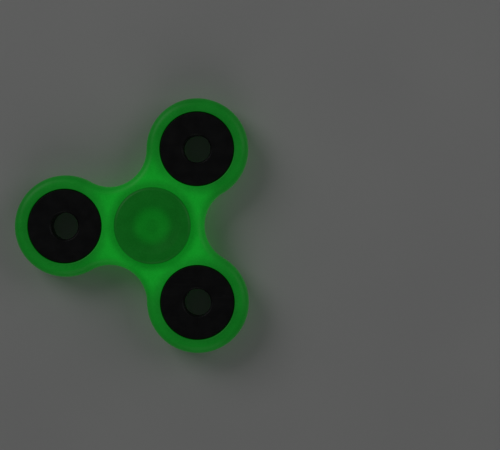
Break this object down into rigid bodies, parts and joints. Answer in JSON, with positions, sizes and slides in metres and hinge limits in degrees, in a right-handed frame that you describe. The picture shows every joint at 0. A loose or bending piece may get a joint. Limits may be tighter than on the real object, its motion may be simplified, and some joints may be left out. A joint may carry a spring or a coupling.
{
  "type": "fidget spinner",
  "caption": "Glow-in-the-dark fidget spinner: a three-lobed luminous frame with black ring weights, turning on a central ball bearing held between two dished finger caps.",
  "frame": {"origin": "middle of the bearing: on the spin axis, halfway through the frame's thickness", "axes": "+Z along the spin axis out of the upper finger cap, -X towards the lobe that stands alone, +Y across the other two lobes"},
  "size_m": [0.069, 0.075, 0.0124],
  "materials": {
    "luminous_plastic": "satin",
    "cap_plastic": "satin",
    "black_steel": "satin",
    "bearing_steel": "satin",
    "ball_steel": "polished",
    "cage_steel": "satin",
    "shield_steel": "satin",
    "spring_wire": "satin"
  },
  "bodies": {
    "hub": {"cap_upper": "cap_plastic", "cap_lower": "cap_plastic", "bearing_inner_race": "bearing_steel"},
    "spinner": {"frame": "luminous_plastic", "weight_left": "black_steel", "weight_upper_right": "black_steel", "weight_lower_right": "black_steel", "bearing_outer_race": "bearing_steel", "shield_upper": "shield_steel", "shield_lower": "shield_steel", "shield_ring_upper": "spring_wire", "shield_ring_lower": "spring_wire"},
    "cage": {"cage_upper": "cage_steel", "cage_lower": "cage_steel", "cage_rivets": "cage_steel"},
    "ball_1": {"bearing_ball_1": "ball_steel"},
    "ball_2": {"bearing_ball_2": "ball_steel"},
    "ball_3": {"bearing_ball_3": "ball_steel"},
    "ball_4": {"bearing_ball_4": "ball_steel"},
    "ball_5": {"bearing_ball_5": "ball_steel"},
    "ball_6": {"bearing_ball_6": "ball_steel"},
    "ball_7": {"bearing_ball_7": "ball_steel"}
  },
  "joints": [
    {"name": "frame_spin", "type": "hinge", "parent": "hub", "child": "spinner", "pos_m": [0, 0, 0], "axis": [0, 0, 1], "continuous": true},
    {"name": "cage_spin", "type": "hinge", "parent": "hub", "child": "cage", "pos_m": [0, 0, 0], "axis": [0, 0, 1], "continuous": true},
    {"name": "ball_1_roll", "type": "hinge", "parent": "cage", "child": "ball_1", "pos_m": [0.0075, 0, 0], "axis": [0, 0, 1], "continuous": true},
    {"name": "ball_2_roll", "type": "hinge", "parent": "cage", "child": "ball_2", "pos_m": [0.00468, 0.00586, 0], "axis": [0, 0, 1], "continuous": true},
    {"name": "ball_3_roll", "type": "hinge", "parent": "cage", "child": "ball_3", "pos_m": [-0.00167, 0.00731, 0], "axis": [0, 0, 1], "continuous": true},
    {"name": "ball_4_roll", "type": "hinge", "parent": "cage", "child": "ball_4", "pos_m": [-0.00676, 0.00325, 0], "axis": [0, 0, 1], "continuous": true},
    {"name": "ball_5_roll", "type": "hinge", "parent": "cage", "child": "ball_5", "pos_m": [-0.00676, -0.00325, 0], "axis": [0, 0, 1], "continuous": true},
    {"name": "ball_6_roll", "type": "hinge", "parent": "cage", "child": "ball_6", "pos_m": [-0.00167, -0.00731, 0], "axis": [0, 0, 1], "continuous": true},
    {"name": "ball_7_roll", "type": "hinge", "parent": "cage", "child": "ball_7", "pos_m": [0.00468, -0.00586, 0], "axis": [0, 0, 1], "continuous": true}
  ],
  "couplings": [
    {"joint": "cage_spin", "follows": "frame_spin", "ratio": 0.6323},
    {"joint": "ball_1_roll", "follows": "frame_spin", "ratio": 1.7573},
    {"joint": "ball_2_roll", "follows": "frame_spin", "ratio": 1.7573},
    {"joint": "ball_3_roll", "follows": "frame_spin", "ratio": 1.7573},
    {"joint": "ball_4_roll", "follows": "frame_spin", "ratio": 1.7573},
    {"joint": "ball_5_roll", "follows": "frame_spin", "ratio": 1.7573},
    {"joint": "ball_6_roll", "follows": "frame_spin", "ratio": 1.7573},
    {"joint": "ball_7_roll", "follows": "frame_spin", "ratio": 1.7573}
  ]
}
